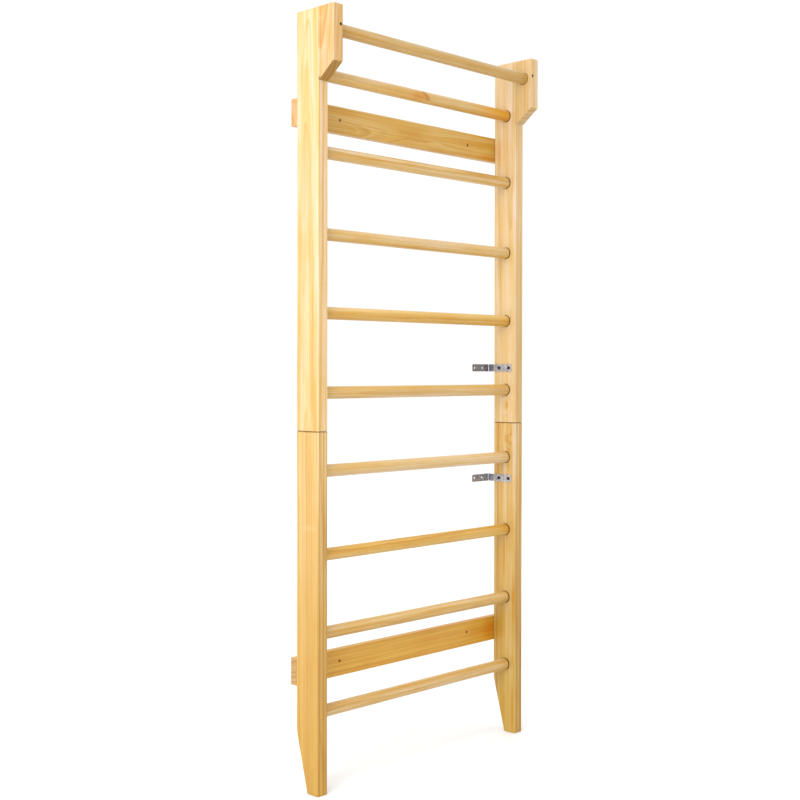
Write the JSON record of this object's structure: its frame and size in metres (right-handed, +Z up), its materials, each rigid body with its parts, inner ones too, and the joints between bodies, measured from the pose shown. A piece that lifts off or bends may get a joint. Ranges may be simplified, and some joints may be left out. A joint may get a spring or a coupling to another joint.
{
  "type": "wall bars",
  "caption": "Wall-mounted pine climbing ladder with round rungs, a forward-set pull-up bar between wing blocks, wall battens, steel angle brackets and tapered feet.",
  "frame": {"origin": "on the floor, in the middle of the width and of the whole depth, from the wings' front to the wall", "axes": "+Z up the ladder, +X to the right as seen from the room, +Y towards the wall"},
  "size_m": [0.9, 0.1774, 2.2],
  "materials": {
    "pine_upper": "clear satin lacquer over pale pine",
    "pine_lower": "clear satin lacquer over golden pine",
    "pine_rung": "clear satin lacquer over turned pine",
    "pine_batten": "clear satin lacquer over golden pine",
    "beech_dowel": "raw",
    "zinc_steel": "bright zinc plate",
    "black_steel": "black phosphate",
    "yellow_zinc": "yellow zinc plate"
  },
  "bodies": {
    "root": {"left_lower_post": "pine_lower", "left_upper_post": "pine_upper", "left_wing_block": "pine_upper", "left_seam_dowel_1": "beech_dowel", "left_wing_dowel_1": "beech_dowel", "left_seam_dowel_2": "beech_dowel", "left_wing_dowel_2": "beech_dowel", "left_bar_locking_screw": "black_steel", "left_lower_bracket": "zinc_steel", "left_lower_bracket_screw_1": "black_steel", "left_lower_batten_screw_1": "yellow_zinc", "left_lower_bracket_screw_2": "black_steel", "left_lower_batten_screw_2": "yellow_zinc", "left_upper_bracket": "zinc_steel", "left_upper_bracket_screw_1": "black_steel", "left_upper_batten_screw_1": "yellow_zinc", "left_upper_bracket_screw_2": "black_steel", "left_upper_batten_screw_2": "yellow_zinc", "right_lower_post": "pine_lower", "right_upper_post": "pine_upper", "right_wing_block": "pine_upper", "right_seam_dowel_1": "beech_dowel", "right_wing_dowel_1": "beech_dowel", "right_seam_dowel_2": "beech_dowel", "right_wing_dowel_2": "beech_dowel", "right_bar_locking_screw": "black_steel", "right_lower_bracket": "zinc_steel", "right_lower_bracket_screw_1": "black_steel", "right_lower_batten_screw_1": "yellow_zinc", "right_lower_bracket_screw_2": "black_steel", "right_lower_batten_screw_2": "yellow_zinc", "right_upper_bracket": "zinc_steel", "right_upper_bracket_screw_1": "black_steel", "right_upper_batten_screw_1": "yellow_zinc", "right_upper_bracket_screw_2": "black_steel", "right_upper_batten_screw_2": "yellow_zinc", "lower_wall_batten": "pine_batten", "upper_wall_batten": "pine_batten", "rung_1": "pine_rung", "rung_2": "pine_rung", "rung_3": "pine_rung", "rung_4": "pine_rung", "rung_5": "pine_rung", "rung_6": "pine_rung", "rung_7": "pine_rung", "rung_8": "pine_rung", "rung_9": "pine_rung", "pull_up_bar": "pine_rung"}
  },
  "joints": []
}
